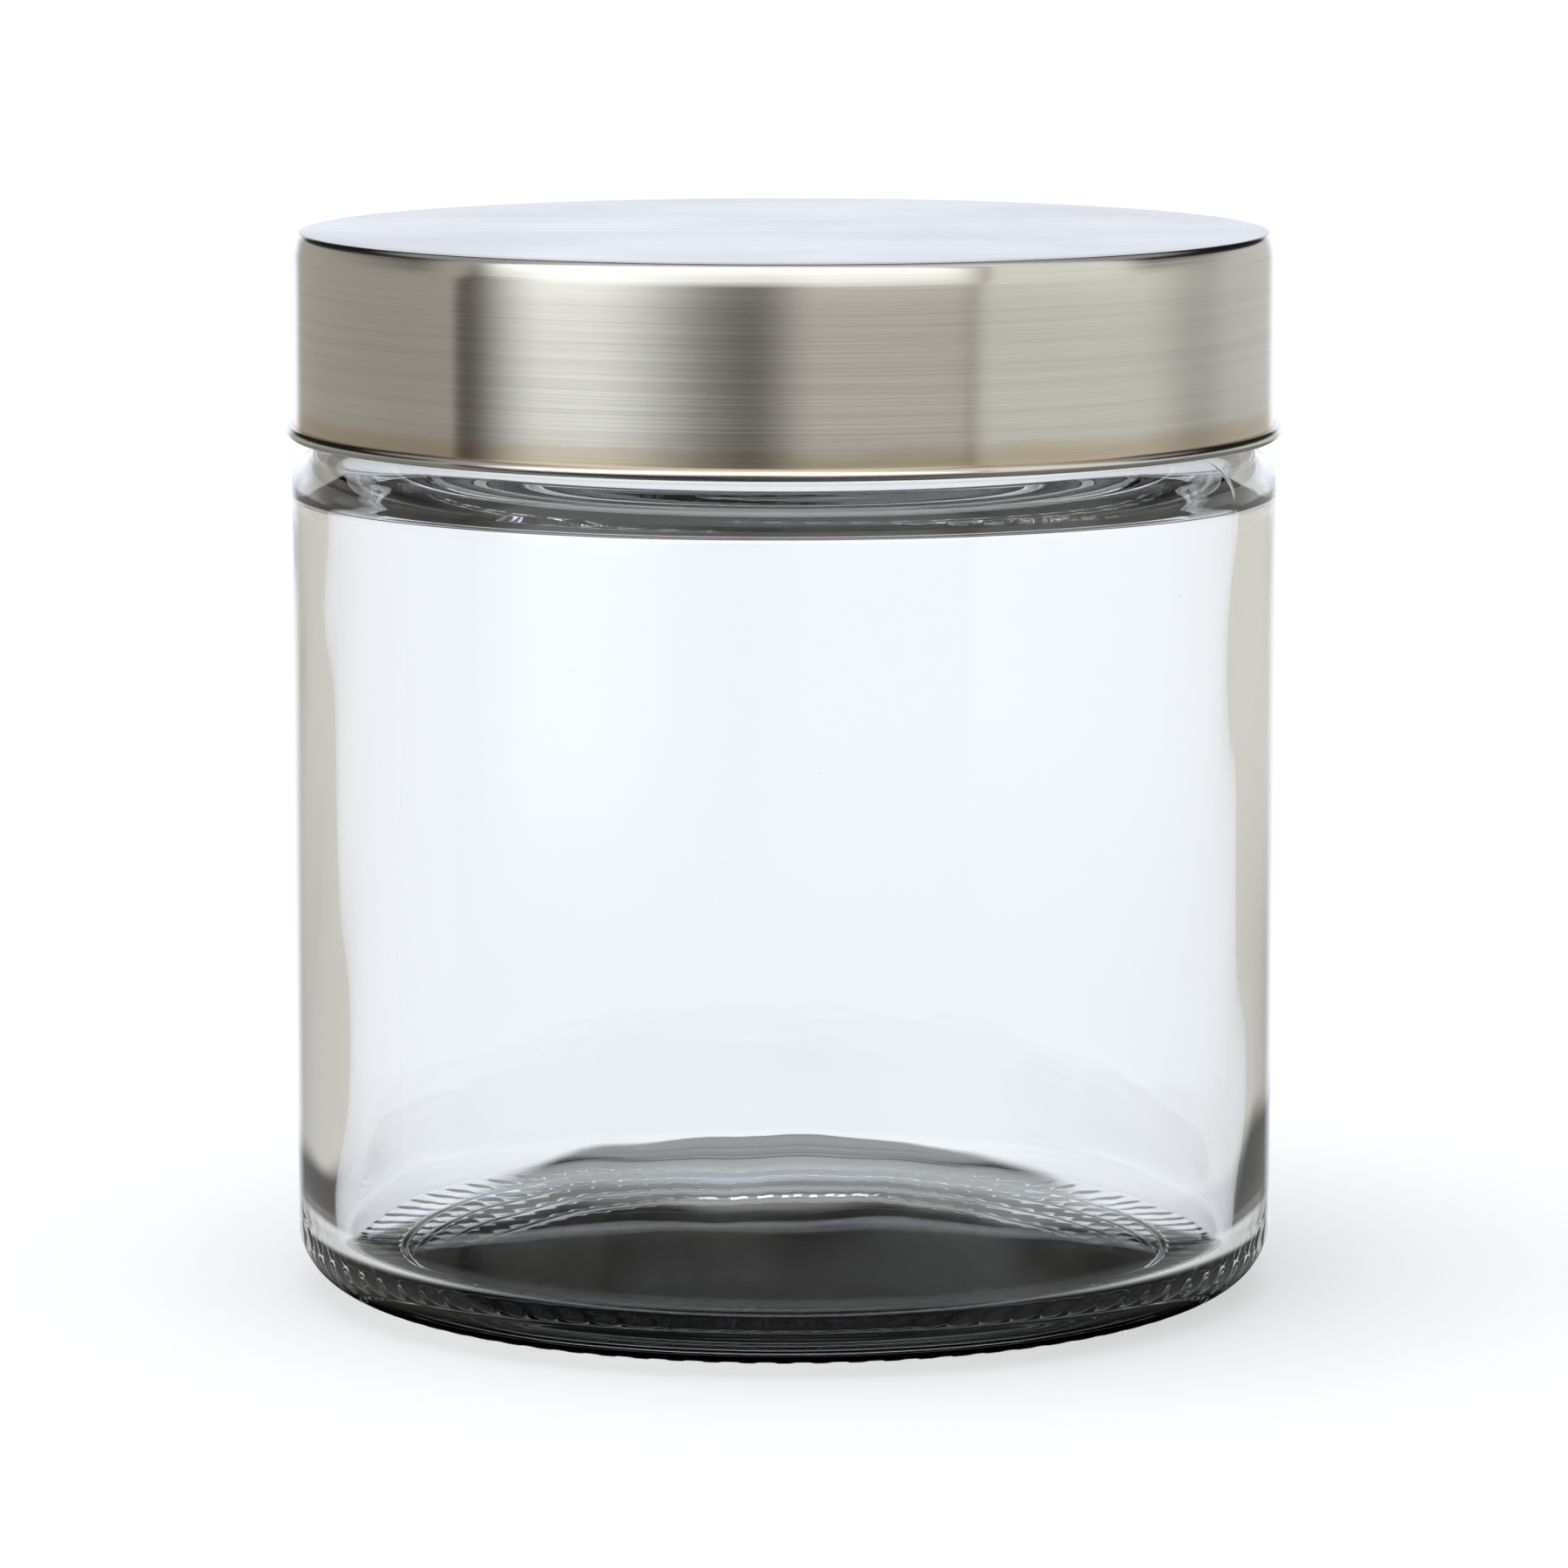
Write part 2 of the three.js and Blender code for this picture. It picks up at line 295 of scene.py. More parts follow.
def with_seams(radius, height, angle, outer):
    """The mould seams. The second pass levels the first seam where the wall is straight."""
    inset = JAR_RADIUS - SEAM_HEIGHT
    for seam in SEAMS:
        off = np.abs((angle - seam + math.pi) % TURN - math.pi) * JAR_RADIUS
        ridge = 1 - smooth_step(0, SEAM_HALF_WIDTH, off)
        side = outer & (radius > NECK_RADIUS - 0.5 * MM) & (height > SEAM_FOOT)
        radius = np.where(side & (radius > inset), inset, radius)
        radius = radius + np.where(side, ridge * SEAM_HEIGHT, 0)
    return radius


def glass_shape(radius, height, angle):
    """Heel marks, thread, mould seams and the uneven inside of the glass."""
    rows = np.arange(len(radius))[:, None]
    rim_row = np.argmax(height[:, 0] >= RIM_HEIGHT - 1e-6)
    outer, inner = rows <= rim_row, rows > rim_row
    height = height + np.where(outer, heel_marks(radius, height, angle), 0)
    on_neck = outer & (height > SHOULDER_TOP) & (radius > NECK_RADIUS - 0.1 * MM)
    radius = radius + np.where(on_neck, thread_height(GLASS_THREAD, height, angle), 0)
    radius = radius + np.where(inner, inside_waves(radius, height, angle), 0)
    height = height + np.where(inner, floor_ripples(radius, height, angle), 0)
    return with_seams(radius, height, angle, outer), height


def glass_angles():
    """Even angles with a few more across each mould seam."""
    offsets = np.array([-1, -0.66, -0.33, 0, 0.33, 0.66, 1]) * SEAM_HALF_WIDTH / JAR_RADIUS
    extra = np.concatenate([(seam + offsets) % TURN for seam in SEAMS])
    even = even_angles(HEEL_MARKS * POINTS_PER_MARK)
    return np.unique(np.concatenate([even, extra]).round(6))


def make_glass():
    outline = glass_base() + glass_outside() + glass_inside()
    piece = turned("glass_jar_body", outline, glass_angles(), glass_shape, sharp=60)
    piece.data.materials.append(glass_material())
    piece.visible_shadow = False
    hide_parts("glass_jar")
    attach(piece, "jar")


# ---- lid ----

def shell_outline():
    """The steel from the axis inside, down round the bead, and up to the axis outside."""
    inner = LID_RADIUS - SHEET
    inner_top = LID_TOP - SHEET
    corner = (inner - INNER_CORNER, inner_top - INNER_CORNER)
    half_width = (BEAD_TIP_RADIUS - inner) / 2
    bead = (inner + half_width, BEAD_HEIGHT)
    leave = math.degrees(math.acos((LID_RADIUS - bead[0]) / half_width))
    edge_centre = (LID_RADIUS - LEAN - LID_EDGE_RADIUS, LID_TOP - LID_EDGE_RADIUS)
    lean_start = edge_centre[1] - LEAN_HEIGHT
    points = line((0, inner_top), (corner[0], inner_top), 8)
    points += arc(corner, INNER_CORNER, 90, 0, 5)
    points += line((inner, corner[1]), (inner, BEAD_HEIGHT), 10)[1:]
    points += arc(bead, (half_width, BEAD_HALF_THICKNESS), -180, leave, 26)
    points += line((LID_RADIUS, BEAD_CREASE), (LID_RADIUS, lean_start), 10)[1:]
    points += [
        (LID_RADIUS - LEAN * t ** LEAN_CURVE, lean_start + LEAN_HEIGHT * t)
        for t in np.linspace(0, 1, 7)[:-1]
    ]
    points += arc(edge_centre, LID_EDGE_RADIUS, LID_EDGE_START, 90, 9)
    points += line((edge_centre[0], LID_TOP), (0, LID_TOP), 12)[1:]
    return points + [(0, LID_TOP)]


def make_shell():
    piece = turned("steel_lid", shell_outline(), even_angles(LID_STEPS_ROUND))
    piece.data.materials.append(steel_material("brushed_steel_wall", on_top=False))
    piece.data.materials.append(steel_material("brushed_steel_top", on_top=True))
    for face in piece.data.polygons:
        if face.normal.z > 0.9 and face.center.z > LID_TOP - 0.2 * MM:
            face.material_index = 1
    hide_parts("lid_shell")
    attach(piece, "lid")


def insert_outline():
    """The insert from the axis under its panel, down the threaded bore, and up outside."""
    top, bottom = INSERT_HIGH[2], INSERT_LOW[2]
    panel = top - INSERT_PANEL
    retainer_top = (INSERT_BORE, RETAINER_HEIGHT + RETAINER_HALF_HEIGHT)
    retainer = (INSERT_BORE - RETAINER_DEPTH, RETAINER_HEIGHT)
    retainer_foot = (INSERT_BORE, RETAINER_HEIGHT - RETAINER_HALF_HEIGHT)
    outer_edge = INSERT_RADIUS - INSERT_EDGE
    low_edge = bottom + INSERT_EDGE
    points = line((0, top), (outer_edge, top), 8)
    points += arc((outer_edge, top - INSERT_EDGE), INSERT_EDGE, 90, 0, 6)
    points += line((INSERT_RADIUS, top - INSERT_EDGE), (INSERT_RADIUS, low_edge), 6)[1:]
    points += arc((outer_edge, low_edge), INSERT_EDGE, 0, -90, 5)
    points += arc((INSERT_BORE + INSERT_EDGE, low_edge), INSERT_EDGE, -90, -180, 5)
    points += line((INSERT_BORE, low_edge), retainer_foot, 44)[1:]
    points += line(retainer_foot, retainer, 3)
    points += line(retainer, retainer_top, 3)
    points += line(retainer_top, (INSERT_BORE, panel), 3)
    points += line((INSERT_BORE, panel), (0, panel), 8)
    points += [(0, panel)]
    return points[::-1]


def insert_shape(radius, height, angle):
    """Threads the bore below the retaining ring."""
    in_bore = np.abs(radius - INSERT_BORE) < 0.01 * MM
    threaded = in_bore & (height < RETAINER_HEIGHT - RETAINER_HALF_HEIGHT)
    radius = radius - np.where(threaded, thread_height(INSERT_THREAD, height, angle), 0)
    return radius, height


def make_insert():
    angles = even_angles(LID_STEPS_ROUND)
    piece = turned("lid_insert", insert_outline(), angles, insert_shape)
    piece.data.materials.append(plastic_material())
    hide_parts("threaded_insert")
    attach(piece, "lid")


def seal_outline():
    """The disc from the axis underneath, over the land and the edge, to the axis on top."""
    low, high = SEAL_LOW[2], SEAL_HIGH[2]
    face = low + SEAL_LAND_HEIGHT
    edge = SEAL_RADIUS - SEAL_EDGE
    ring = (MOUTH_RADIUS + NECK_RADIUS) / 2
    land = [
        (ring + SEAL_LAND_HALF_WIDTH * t, low + SEAL_LAND_HEIGHT * math.sin(math.pi * t / 2) ** 2)
        for t in np.linspace(-1, 1, 13)
    ]
    points = line((0, face), land[0], 8) + land
    points += [(edge, face)]
    points += arc((edge, face + SEAL_EDGE), SEAL_EDGE, -90, 0, 5)[1:]
    points += arc((edge, high - SEAL_EDGE), SEAL_EDGE, 0, 90, 5)
    points += line((edge, high), (0, high), 6)[1:]
    return points + [(0, high)]


def make_seal():
    piece = turned("sealing_disc", seal_outline(), even_angles(SEAL_STEPS_ROUND))
    piece.data.materials.append(seal_material())
    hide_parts("seal_disc")
    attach(piece, "seal")


# ---- materials ----

GLASS_TINT = (0.985, 0.995, 1.0, 1)
GLASS_DUST = (0.7, 0.72, 0.75, 1)
GLASS_DEPTH_TINT = (0.67, 0.69, 0.675, 1)
GLASS_DEPTH_DENSITY = 18.0
GLASS_IOR = 1.52
GLASS_RELIEF = 0.012 * MM

STEEL_PALE = (0.80, 0.785, 0.745, 1)
STEEL_DEEP = (0.755, 0.74, 0.70, 1)
STEEL_STROKE = (0.66, 0.645, 0.61, 1)
STEEL_SHINE = (0.86, 0.85, 0.82, 1)
STEEL_SPOT = (0.12, 0.11, 0.10, 1)
STEEL_BROWN_BAND = (0.62, 0.53, 0.40, 1)
STEEL_RELIEF = 0.006 * MM
# Noise scales along X, Y and Z: the brushing runs round the wall and straight over the top.
WALL_GRAIN, WALL_HATCH = (22, 22, 4200), (1300, 1300, 90)
TOP_GRAIN, TOP_HATCH = (25, 4200, 25), (900, 60, 900)
STROKE_SCALE = 0.22
STROKE_RELIEF, HATCH_RELIEF, SPOT_RELIEF = 1.4, 0.06, 1.2
BROWN_BAND_HEIGHT = 1.8 * MM
BROWN_BAND_WANDER = 1.6 * MM

PLASTIC_PALE = (0.135, 0.12, 0.112, 1)
PLASTIC_DEEP = (0.10, 0.09, 0.085, 1)
PLASTIC_RELIEF = 0.02 * MM

SEAL_PALE = (0.80, 0.82, 0.81, 1)
SEAL_DEEP = (0.72, 0.74, 0.74, 1)
SEAL_CELLS = 2400.0
SEAL_RELIEF = 0.04 * MM


class Nodes:
    """Short calls for building one node tree."""

    def __init__(self, tree):
        self.tree = tree
        tree.nodes.clear()

    def add(self, kind, inputs=None, **settings):
        node = self.tree.nodes.new(kind)
        for key, value in settings.items():
            setattr(node, key, value)
        for key, value in (inputs or {}).items():
            self.put(node.inputs[key], value)
        return node

    def put(self, socket, value):
        if isinstance(value, bpy.types.NodeSocket):
            self.tree.links.new(value, socket)
        else:
            socket.default_value = value

    def math(self, operation, first, second=0.0):
        node = self.add("ShaderNodeMath", {0: first, 1: second}, operation=operation)
        return node.outputs[0]

    def mix(self, share, first, second):
        inputs = {0: share, 6: first, 7: second}
        return self.add("ShaderNodeMix", inputs, data_type="RGBA").outputs[2]

    def remap(self, value, low, high, to_low=0.0, to_high=1.0):
        inputs = dict(enumerate((value, low, high, to_low, to_high)))
        node = self.add("ShaderNodeMapRange", inputs, interpolation_type="SMOOTHSTEP")
        return node.outputs[0]

    def noise(self, vector, scale, detail=2.0, roughness=0.5):
        inputs = {"Vector": vector, "Scale": scale, "Detail": detail, "Roughness": roughness}
        return self.add("ShaderNodeTexNoise", inputs).outputs["Fac"]

    def stretched(self, vector, scale):
        inputs = {"Vector": vector, "Scale": scale}
        return self.add("ShaderNodeMapping", inputs).outputs[0]

    def axes(self, vector):
        """The X, Y and Z of a vector, as three sockets."""
        return self.add("ShaderNodeSeparateXYZ", {0: vector}).outputs


def new_material(name):
    """A material with one shader, the place in object coordinates, and the surface output."""
    material = bpy.data.materials.new(name)
    material.use_nodes = True
    nodes = Nodes(material.node_tree)
    place = nodes.add("ShaderNodeTexCoord").outputs["Object"]
    shader = nodes.add("ShaderNodeBsdfPrincipled")
    output = nodes.add("ShaderNodeOutputMaterial")
    nodes.put(output.inputs["Surface"], shader.outputs[0])
    return material, nodes, place, shader


def set_surface(nodes, shader, colour, roughness, relief, distance):
    """Gives the shader a colour, a roughness and a bump of some height."""
    bump = nodes.add("ShaderNodeBump", {"Height": relief, "Distance": distance, "Strength": 1.0})
    nodes.put(shader.inputs["Base Color"], colour)
    nodes.put(shader.inputs["Roughness"], roughness)
    nodes.put(shader.inputs["Normal"], bump.outputs[0])


def specks(nodes, place, scale, size):
    """Small round dots in a tenth of the cells: 1 in a dot, 0 outside."""
    cells = nodes.add("ShaderNodeTexVoronoi", {"Vector": place, "Scale": scale})
    near = nodes.remap(cells.outputs["Distance"], size * 0.6, size, 1, 0)
    hue = nodes.add("ShaderNodeSeparateColor", {0: cells.outputs["Color"]}).outputs[0]
    chosen = nodes.math("GREATER_THAN", hue, 0.9)
    return nodes.math("MULTIPLY", near, chosen)


def glass_material():
    """Clear glass with a faint relief, a few grains of dust and the marks of handling."""
    material, nodes, place, shader = new_material("clear_soda_lime_glass")
    swell = nodes.noise(place, 90, 1)
    fine = nodes.noise(place, 700, 3)
    dust = specks(nodes, place, 300, 0.035)
    relief = nodes.math("ADD", swell, nodes.math("MULTIPLY", fine, 0.04))
    relief = nodes.math("ADD", relief, nodes.math("MULTIPLY", dust, 0.5))
    handling = nodes.noise(place, 35, 4, 0.6)
    roughness = nodes.remap(handling, 0.45, 0.8, 0.0, 0.035)
    tint = nodes.mix(dust, GLASS_TINT, GLASS_DUST)
    set_surface(nodes, shader, tint, roughness, relief, GLASS_RELIEF)
    shader.inputs["Transmission Weight"].default_value = 1.0
    shader.inputs["IOR"].default_value = GLASS_IOR
    depth = {"Color": GLASS_DEPTH_TINT, "Density": GLASS_DEPTH_DENSITY}
    absorb = nodes.add("ShaderNodeVolumeAbsorption", depth)
    output = next(n for n in nodes.tree.nodes if n.type == "OUTPUT_MATERIAL")
    nodes.put(output.inputs["Volume"], absorb.outputs[0])
    return material


def steel_material(name, on_top):
    """Brushed steel: lines and strokes along the brushing, a hatch across it, and dark spots."""
    material, nodes, place, shader = new_material(name)
    along, across = (TOP_GRAIN, TOP_HATCH) if on_top else (WALL_GRAIN, WALL_HATCH)
    broad = tuple(STROKE_SCALE * scale for scale in along)
    lines = nodes.noise(nodes.stretched(place, along), 1, 3, 0.6)
    strokes = nodes.noise(nodes.stretched(place, broad), 1, 2)
    hatch = nodes.noise(nodes.stretched(place, across), 1, 3, 0.6)
    blotch = nodes.noise(place, 28, 3)
    spots = specks(nodes, place, 420, 0.04)
    relief = nodes.math("ADD", lines, nodes.math("MULTIPLY", strokes, STROKE_RELIEF))
    relief = nodes.math("ADD", relief, nodes.math("MULTIPLY", hatch, HATCH_RELIEF))
    relief = nodes.math("SUBTRACT", relief, nodes.math("MULTIPLY", spots, SPOT_RELIEF))
    colour = nodes.mix(nodes.remap(blotch, 0.35, 0.65), STEEL_PALE, STEEL_DEEP)
    colour = nodes.mix(nodes.remap(strokes, 0.35, 0.7, 0.0, 0.5), colour, STEEL_STROKE)
    colour = nodes.mix(nodes.remap(lines, 0.4, 0.7, 0.0, 0.6), colour, STEEL_SHINE)
    if not on_top:
        colour = browned_above_bead(nodes, place, colour)
    colour = nodes.mix(nodes.math("MULTIPLY", spots, 0.8), colour, STEEL_SPOT)
    roughness = nodes.remap(nodes.math("ADD", lines, blotch), 0.7, 1.3, 0.15, 0.19)
    set_surface(nodes, shader, colour, roughness, relief, STEEL_RELIEF)
    shader.inputs["Metallic"].default_value = 1.0
    if not on_top:
        shader.inputs["Anisotropic"].default_value = 1.0
        tangent = nodes.add("ShaderNodeTangent", direction_type="RADIAL", axis="Z")
        nodes.put(shader.inputs["Tangent"], tangent.outputs[0])
        shader.inputs["Anisotropic Rotation"].default_value = 0.25
    return material


def browned_above_bead(nodes, place, colour):
    """A thin brown band with an uneven edge, on the wall just above the bead, strongest at its
    crease and fading upwards.
    """
    height = nodes.axes(place)[2]
    uneven = nodes.noise(place, 120, 4, 0.7)
    rise = nodes.math("SUBTRACT", height, nodes.math("MULTIPLY", uneven, BROWN_BAND_WANDER))
    brown_band = nodes.remap(rise, BEAD_CREASE, BEAD_CREASE + BROWN_BAND_HEIGHT, 0.8, 0.0)
    above = nodes.remap(height, BEAD_CREASE - 0.3 * MM, BEAD_CREASE)
    return nodes.mix(nodes.math("MULTIPLY", brown_band, above), colour, STEEL_BROWN_BAND)


def plastic_material():
    """Moulded plastic with a fine grain, slow flow marks and upright drag marks."""
    material, nodes, place, shader = new_material("moulded_grey_plastic")
    grain = nodes.noise(place, 2600, 4)
    flow = nodes.noise(place, 60, 3)
    marks = nodes.noise(nodes.stretched(place, (300, 300, 30)), 1, 2)
    colour = nodes.mix(nodes.remap(flow, 0.3, 0.7), PLASTIC_PALE, PLASTIC_DEEP)
    relief = nodes.math("ADD", grain, nodes.math("MULTIPLY", marks, 0.6))
    roughness = nodes.remap(grain, 0.3, 0.7, 0.38, 0.55)
    set_surface(nodes, shader, colour, roughness, relief, PLASTIC_RELIEF)
    shader.inputs["Subsurface Weight"].default_value = 0.15
    shader.inputs["Subsurface Scale"].default_value = 1 * MM
    return material


def seal_material():
    """Soft foam with small closed cells."""
    material, nodes, place, shader = new_material("soft_seal_foam")
    cells = nodes.add("ShaderNodeTexVoronoi", {"Vector": place, "Scale": SEAL_CELLS})
    cell = cells.outputs["Distance"]
    shade = nodes.noise(place, 80, 3)
    colour = nodes.mix(nodes.remap(shade, 0.3, 0.7), SEAL_PALE, SEAL_DEEP)
    roughness = nodes.remap(cell, 0.0, 0.6, 0.6, 0.85)
    set_surface(nodes, shader, colour, roughness, cell, SEAL_RELIEF)
    return material


# ---- studio ----

# Soft panels round the jar: (left edge, its softness, right edge, its softness, tone). Azimuths
# are in degrees, 0 towards the camera and positive to the right. A later panel lies on top.
PANELS = (
    (-200, 1, -81, 1, (0.42, 0.40, 0.355)),
    (-67, 12, -27, 20, (1.25, 1.27, 1.25)),
    (1, 8, 44, 2, (0.62, 0.60, 0.545)),
    (45, 2, 110, 20, (0.84, 0.83, 0.77)),
    (110, 20, 200, 1, (0.62, 0.61, 0.58)),
)
LOW_PANELS = (
    (-200, 1, -82, 2, (0.24, 0.23, 0.22)),
    (-17, 2, 46, 2, (0.08, 0.075, 0.075)),
    (46, 2, 200, 1, (0.18, 0.18, 0.175)),
)
BETWEEN_PANELS = (0.115, 0.10, 0.088, 1)
BETWEEN_LOW_PANELS = (0.02, 0.02, 0.02, 1)
PANEL_LEAN = 0.25
# Where each part of the surroundings begins and is full, as Z or Y of the direction from the jar
LOW_PANELS_Z = (-0.13, -0.17)
OVERHEAD_Z = (0.21, 0.26)
CEILING_Z = (0.178, 0.192)
CEILING_Y = (-0.1, 0.15)
HIGH_CEILING_Z = (0.5, 0.65)
ZENITH_Z = (0.75, 0.95)
BACKDROP_Y = (0.90, 0.97)
BACKDROP_FOOT_Z = (-0.25, -0.2)
BACKDROP_TOP_Z = (0.12, 0.17)
OVERHEAD_LEFT = (math.radians(-80), math.radians(-70))
OVERHEAD_RIGHT = (math.radians(40), math.radians(50))
OVERHEAD = (1.5, 1.5, 1.48, 1)
CEILING = (0.008, 0.008, 0.008, 1)
HIGH_CEILING = (0.33, 0.32, 0.33, 1)
ZENITH = (0.62, 0.62, 0.62, 1)
BACKDROP = (1.06, 1.11, 1.23, 1)
BACKDROP_TOP = (0.52, 0.52, 0.52, 1)
PLAIN_SKY = (0.80, 0.81, 0.82, 1)

FLOOR_HALF_SIZE = 30.0
FLOOR_LEVEL = -0.4 * MM
PALE_FLOOR = (0.90, 0.905, 0.91, 1)
# Painted light: the floor's glow behind the glass, and for light that only grazes the glass a
# painted dark ring round the jar
FLOOR_GLOW_THROUGH_GLASS = (0.975, 0.995, 1.04, 1)
NEAR_PAINTED_GLOW = (0.8, 0.8, 0.8, 1)
PAINTED_DARK_RING = (0.06, 0.057, 0.055, 1)
DARK_RING_START = 66 * MM
DARK_RING_END = 104 * MM
FAR_PAINTED_GLOW = (0.66, 0.64, 0.585, 1)

# A hidden card of painted shade under the jar, black and greyer towards its back
CARD_LEVEL = -0.2 * MM
CARD_RADIUS = 48.5 * MM
CARD_TONGUE = 29 * MM
CARD_NARROWING = 13 * MM
CARD_BACK = 66 * MM
CARD_EDGE = 2.5 * MM
CARD_BLACK = (0.004, 0.004, 0.004, 1)
CARD_GREY = (0.31, 0.31, 0.315, 1)
CARD_GREY_START = 42 * MM

LIGHT_SPREAD = 50
LIGHT_STRENGTH = 1.25
LIGHT_TILT = (7, -6, 0)

CAMERA_LENS = 173.2
CAMERA_SENSOR = 36
CAMERA_PLACE = (0, -0.7487, 0.1568)
CAMERA_LOOKS_DOWN = 8.14


def studio_panel(nodes, azimuth, colour, panel):
    """Lays one lit panel with soft edges over the colour of the surroundings."""
    left, left_soft, right, right_soft, tone = panel
    left_edge = (math.radians(left - left_soft), math.radians(left + left_soft))
    right_edge = (math.radians(right - right_soft), math.radians(right + right_soft))
    rises = nodes.remap(azimuth, *left_edge)
    falls = nodes.remap(azimuth, *right_edge, 1, 0)
    return nodes.mix(nodes.math("MULTIPLY", rises, falls), colour, (*tone, 1))


def make_surroundings():
    """What the jar reflects and refracts: panels all round, a ceiling and a backdrop."""
    world = bpy.data.worlds.new("studio")
    world.use_nodes = True
    bpy.context.scene.world = world
    nodes = Nodes(world.node_tree)
    x, y, z = nodes.axes(nodes.add("ShaderNodeTexCoord").outputs["Generated"])
    azimuth = nodes.math("ARCTAN2", x, nodes.math("MULTIPLY", y, -1.0))
    leaning = nodes.math("SUBTRACT", azimuth, nodes.math("MULTIPLY", z, PANEL_LEAN))
    colour = BETWEEN_PANELS
    for panel in PANELS:
        colour = studio_panel(nodes, leaning, colour, panel)
    low = BETWEEN_LOW_PANELS
    for panel in LOW_PANELS:
        low = studio_panel(nodes, azimuth, low, panel)
    colour = nodes.mix(nodes.remap(z, *LOW_PANELS_Z), colour, low)
    front = nodes.math("MULTIPLY", nodes.remap(azimuth, *OVERHEAD_LEFT),
                       nodes.remap(azimuth, *OVERHEAD_RIGHT, 1, 0))
    overhead = nodes.math("MULTIPLY", front, nodes.remap(z, *OVERHEAD_Z))
    colour = nodes.mix(overhead, colour, OVERHEAD)
    backdrop = nodes.math("MULTIPLY", nodes.remap(y, *BACKDROP_Y), nodes.remap(z, *BACKDROP_FOOT_Z))
    wash = nodes.mix(nodes.remap(z, *BACKDROP_TOP_Z), BACKDROP, BACKDROP_TOP)
    colour = nodes.mix(backdrop, colour, wash)
    ceiling = nodes.math("MULTIPLY", nodes.remap(z, *CEILING_Z), nodes.remap(y, *CEILING_Y))
    above = nodes.mix(nodes.remap(z, *HIGH_CEILING_Z), CEILING, HIGH_CEILING)
    above = nodes.mix(nodes.remap(z, *ZENITH_Z), above, ZENITH)
    colour = nodes.mix(ceiling, colour, above)
    # The floor is lit evenly from all round, and the view behind the floor's edge is plain.
    path = nodes.add("ShaderNodeLightPath")
    plain = nodes.math("MAXIMUM", path.outputs["Is Camera Ray"], path.outputs["Is Diffuse Ray"])
    colour = nodes.mix(plain, colour, PLAIN_SKY)
    background = nodes.add("ShaderNodeBackground", {"Color": colour, "Strength": 1.0})
    output = nodes.add("ShaderNodeOutputWorld")
    nodes.put(output.inputs[0], background.outputs[0])


def flat_square(name, half_width, half_depth, height, material):
    corners = ((-1, -1), (1, -1), (1, 1), (-1, 1))
    rim = [(x * half_width, y * half_depth, height) for x, y in corners]
    mesh = bpy.data.meshes.new(name)
    mesh.from_pydata(rim, [], [list(range(len(rim)))])
    disc = bpy.data.objects.new(name, mesh)
    disc.data.materials.append(material)
    bpy.context.scene.collection.objects.link(disc)
    return disc


def painted_shade_card():
    """A card of painted shade with soft edges, as wide as the jar in front and narrow behind it."""
    material, nodes, place, shader = new_material("painted_shade_card")
    x, y, _ = nodes.axes(place)
    # In front, half the width of a circle
    chord = nodes.math("SUBTRACT", CARD_RADIUS ** 2, nodes.math("MULTIPLY", y, y))
    chord = nodes.math("SQRT", nodes.math("MAXIMUM", chord, 0.0))
    # Behind, a tongue that narrows quickly and then closes at the card's back
    falling = nodes.math("DIVIDE", nodes.math("MULTIPLY", y, -1.0), CARD_NARROWING)
    falling = nodes.math("EXPONENT", falling)
    tongue = nodes.math("MULTIPLY", falling, CARD_RADIUS - CARD_TONGUE)
    tongue = nodes.math("ADD", CARD_TONGUE, tongue)
    closing = nodes.math("ABSOLUTE", nodes.math("DIVIDE", y, CARD_BACK))
    closing = nodes.math("SUBTRACT", 1.0, nodes.math("POWER", closing, 4.0))
    closing = nodes.math("SQRT", nodes.math("MAXIMUM", closing, 0.0))
    tongue = nodes.math("MULTIPLY", tongue, closing)
    is_behind = nodes.math("GREATER_THAN", y, 0.0)
    half_width = nodes.add("ShaderNodeMix", {0: is_behind, 2: chord, 3: tongue}).outputs[0]
    beyond = nodes.math("SUBTRACT", nodes.math("ABSOLUTE", x), half_width)
    cover = nodes.remap(beyond, -CARD_EDGE, CARD_EDGE, 1, 0)
    cover = nodes.math("MULTIPLY", cover, nodes.math("GREATER_THAN", half_width, CARD_EDGE))
    # Painted shade: black under the jar, greyer behind it
    grey = nodes.remap(y, CARD_GREY_START, CARD_GREY_START + 6 * MM)
    nodes.put(shader.inputs["Base Color"], nodes.mix(grey, CARD_BLACK, CARD_GREY))
    nodes.put(shader.inputs["Alpha"], cover)
    shader.inputs["Roughness"].default_value = 0.9
    shader.inputs["Specular IOR Level"].default_value = 0.0
    return material


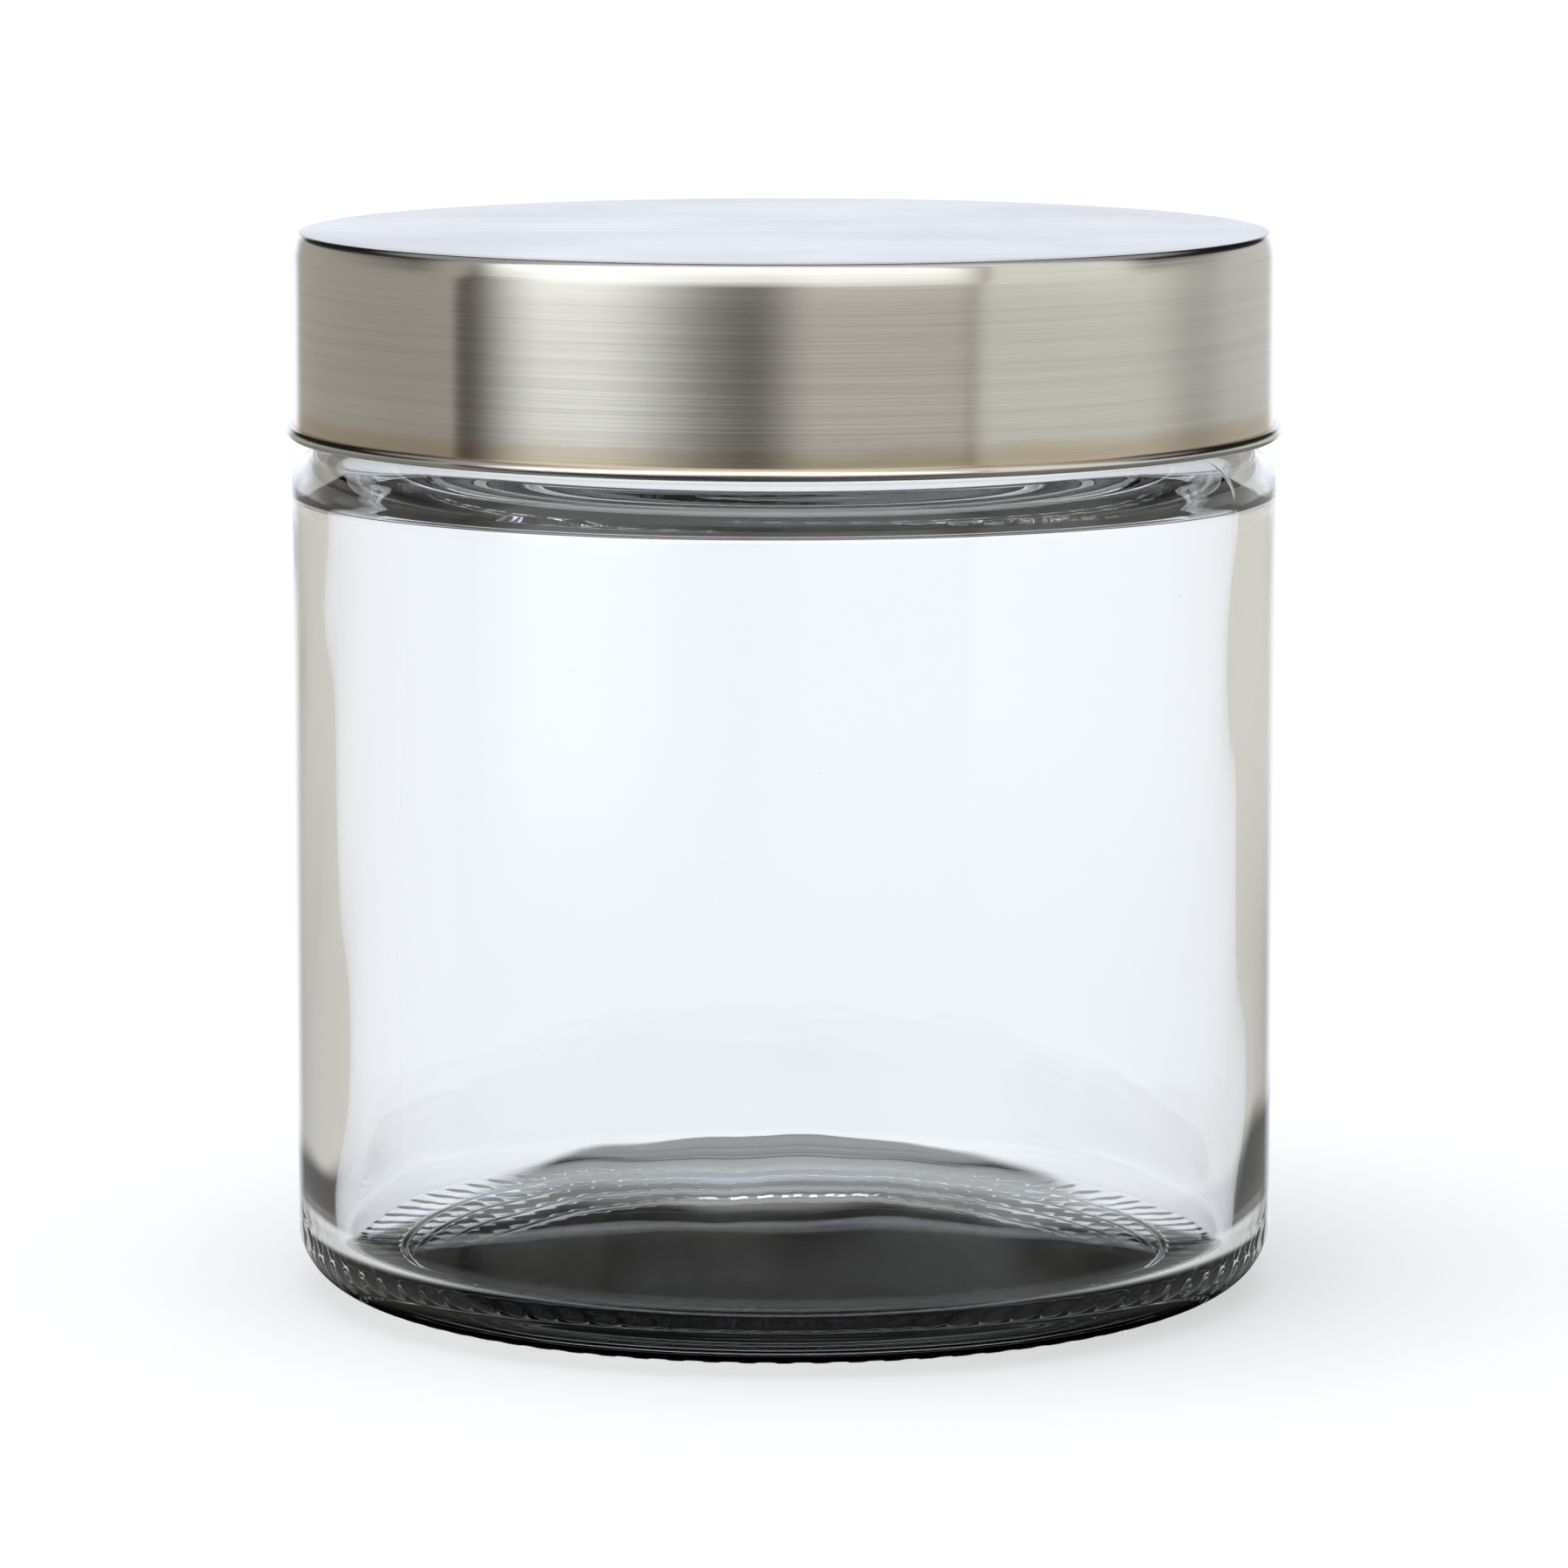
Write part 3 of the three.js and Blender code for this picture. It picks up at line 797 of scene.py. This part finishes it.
def make_floor():
    """The pale floor, which glows with painted light where the glass is looked through, and a
    hidden card of painted shade that darkens the base of the glass from below.
    """
    pale, nodes, place, shader = new_material("pale_floor")
    # Looked at through the glass, the floor is unlit and glows with painted light. Light that only
    # grazes the glass, in and straight out again, finds a painted pale patch close in, a painted
    # dark ring round it and a fainter painted glow further out.
    path = nodes.add("ShaderNodeLightPath")
    through = path.outputs["Is Transmission Ray"]
    grazed = nodes.math("LESS_THAN", path.outputs["Transmission Depth"], 2.5)
    grazed = nodes.math("MULTIPLY", grazed, through)
    reach = nodes.add("ShaderNodeVectorMath", {0: place}, operation="LENGTH").outputs["Value"]
    grazed_glow = nodes.mix(nodes.remap(reach, DARK_RING_START, DARK_RING_START + 6 * MM), NEAR_PAINTED_GLOW, PAINTED_DARK_RING)
    grazed_glow = nodes.mix(nodes.remap(reach, DARK_RING_END, DARK_RING_END + 25 * MM), grazed_glow, FAR_PAINTED_GLOW)
    seen = nodes.mix(grazed, FLOOR_GLOW_THROUGH_GLASS, grazed_glow)
    nodes.put(shader.inputs["Base Color"], nodes.mix(through, PALE_FLOOR, (0, 0, 0, 1)))
    nodes.put(shader.inputs["Emission Color"], seen)
    nodes.put(shader.inputs["Emission Strength"], through)
    pale.cycles.emission_sampling = "NONE"
    shader.inputs["Roughness"].default_value = 0.9
    floor = flat_square("floor", FLOOR_HALF_SIZE, FLOOR_HALF_SIZE, FLOOR_LEVEL, pale)
    floor.visible_glossy = False
    # The card is painted shade: hidden from the camera, it is met only through the glass and in its
    # reflections.
    half_width = CARD_RADIUS + CARD_EDGE
    card = flat_square("painted_shade_card_under_jar", half_width, CARD_BACK, CARD_LEVEL, painted_shade_card())
    card.visible_camera = False
    card.visible_diffuse = False
    card.visible_shadow = False


def make_light():
    """One broad soft light from above."""
    lamp = bpy.data.lights.new("soft_key", "SUN")
    lamp.angle = math.radians(LIGHT_SPREAD)
    lamp.energy = LIGHT_STRENGTH
    light = bpy.data.objects.new("soft_key", lamp)
    light.rotation_euler = [math.radians(angle) for angle in LIGHT_TILT]
    light.visible_glossy = False
    light.visible_camera = False
    bpy.context.scene.collection.objects.link(light)


def make_camera():
    lens = bpy.data.cameras.new("camera")
    lens.lens = CAMERA_LENS
    lens.sensor_width = CAMERA_SENSOR
    camera = bpy.data.objects.new("camera", lens)
    camera.location = CAMERA_PLACE
    camera.rotation_euler = (math.radians(90 - CAMERA_LOOKS_DOWN), 0, 0)
    bpy.context.scene.collection.objects.link(camera)
    bpy.context.scene.camera = camera


def set_look():
    """Plain colours, and enough bounces for light to cross the glass many times."""
    scene = bpy.context.scene
    scene.view_settings.view_transform = "Standard"
    scene.cycles.max_bounces = 24
    scene.cycles.transmission_bounces = 20
    scene.cycles.glossy_bounces = 8


make_camera()
make_surroundings()
make_floor()
make_light()
set_look()
make_glass()
make_shell()
make_insert()
make_seal()
